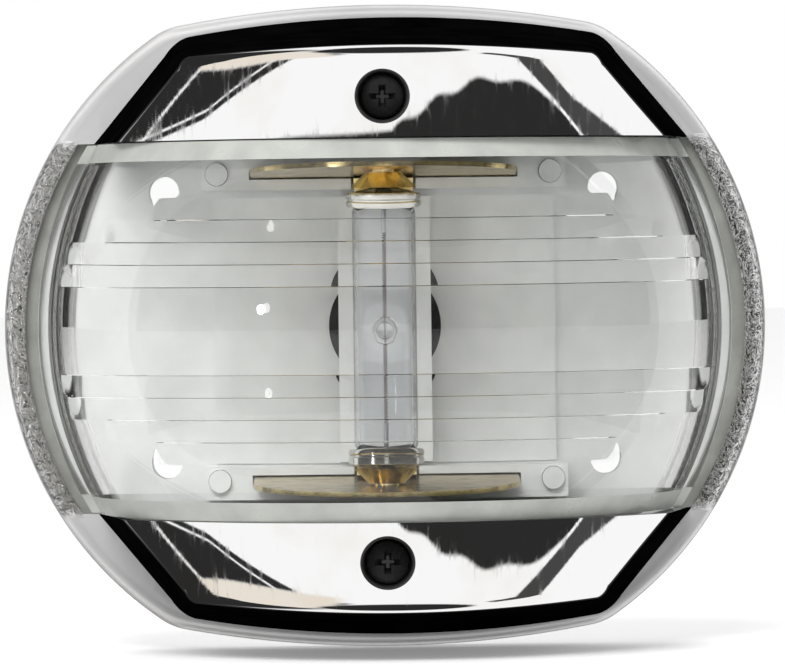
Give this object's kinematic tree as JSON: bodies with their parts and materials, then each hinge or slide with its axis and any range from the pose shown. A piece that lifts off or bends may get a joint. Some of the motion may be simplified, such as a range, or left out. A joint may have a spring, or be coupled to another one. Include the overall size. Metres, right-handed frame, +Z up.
{
  "type": "navigation light",
  "caption": "Surface-mounted marine navigation light: polished steel cover with a window, clear barrel lens, and a double-ended bulb between sprung brass contacts.",
  "frame": {"origin": "centre of the cable entry, on the flat back face that is screwed to the boat", "axes": "+Z up, +Y into the surface it is mounted on, so the light shines along -Y; +X to the right seen from the front"},
  "size_m": [0.083, 0.042, 0.07],
  "materials": {
    "polished_steel": "mirror-polished cast stainless steel, bare as-cast on the side rails",
    "clear_lens": "clear moulded polycarbonate",
    "bulb_glass": "clear glass",
    "rubber": "matt",
    "white_plastic": "satin moulded plastic",
    "brass": "bright stamped brass",
    "zinc_plate": "bright zinc plate",
    "black_screw": "glossy black oxide",
    "nickel_plate": "bright nickel plate",
    "solder": "dull solder",
    "filament": "drawn tungsten wire"
  },
  "bodies": {
    "base": {"base_plate": "white_plastic", "cable_grommet": "rubber", "wire_guard": "white_plastic", "lens_gasket": "rubber", "upper_contact_carrier": "white_plastic", "upper_threaded_insert": "brass", "upper_terminal_tab": "brass", "upper_clamp_washer": "zinc_plate", "upper_terminal_screw": "zinc_plate", "lower_contact_carrier": "white_plastic", "lower_threaded_insert": "brass", "lower_terminal_tab": "brass", "lower_clamp_washer": "zinc_plate", "lower_terminal_screw": "zinc_plate"},
    "cover": {"steel_cover": "polished_steel", "lens": "clear_lens"},
    "upper_screw_carriage": {"upper_screw_seal": "rubber"},
    "upper_screw": {"upper_cover_screw": "black_screw"},
    "lower_screw_carriage": {"lower_screw_seal": "rubber"},
    "lower_screw": {"lower_cover_screw": "black_screw"},
    "upper_contact": {"upper_contact_plate": "brass", "upper_contact_cup": "brass"},
    "lower_contact": {"lower_contact_plate": "brass", "lower_contact_cup": "brass"},
    "bulb": {"bulb_glass": "bulb_glass", "bulb_filament": "filament", "bulb_upper_cap": "nickel_plate", "bulb_lower_cap": "nickel_plate", "bulb_upper_lead": "solder", "bulb_lower_lead": "solder"}
  },
  "joints": [
    {"name": "cover_lift", "type": "slide", "parent": "base", "child": "cover", "axis": [0, -1, 0], "range_m": [0, 0.055]},
    {"name": "upper_screw_travel", "type": "slide", "parent": "cover", "child": "upper_screw_carriage", "axis": [0, -1, 0], "range_m": [0, 0.0072]},
    {"name": "upper_screw_turn", "type": "hinge", "parent": "upper_screw_carriage", "child": "upper_screw", "pos_m": [0, -0.031, 0.02445], "axis": [0, -1, 0], "range_deg": [0, 5760.5]},
    {"name": "upper_contact_flex", "type": "hinge", "parent": "base", "child": "upper_contact", "pos_m": [0, -0.0075, 0.0159], "axis": [-1, 0, 0], "range_deg": [0, 1.5], "stiffness_Nm_per_rad": 0.06},
    {"name": "lower_screw_travel", "type": "slide", "parent": "cover", "child": "lower_screw_carriage", "axis": [0, -1, 0], "range_m": [0, 0.0072]},
    {"name": "lower_screw_turn", "type": "hinge", "parent": "lower_screw_carriage", "child": "lower_screw", "pos_m": [0, -0.031, -0.02445], "axis": [0, -1, 0], "range_deg": [0, 5760.5]},
    {"name": "lower_contact_flex", "type": "hinge", "parent": "base", "child": "lower_contact", "pos_m": [0, -0.0075, -0.0159], "axis": [1, 0, 0], "range_deg": [0, 1.5], "stiffness_Nm_per_rad": 0.06},
    {"name": "bulb_spin", "type": "hinge", "parent": "base", "child": "bulb", "pos_m": [0, -0.0205, 0], "axis": [0, 0, 1], "continuous": true}
  ],
  "couplings": [
    {"joint": "upper_screw_turn", "follows": "upper_screw_travel", "rad_per_m": 13963},
    {"joint": "lower_screw_turn", "follows": "lower_screw_travel", "rad_per_m": 13963}
  ]
}
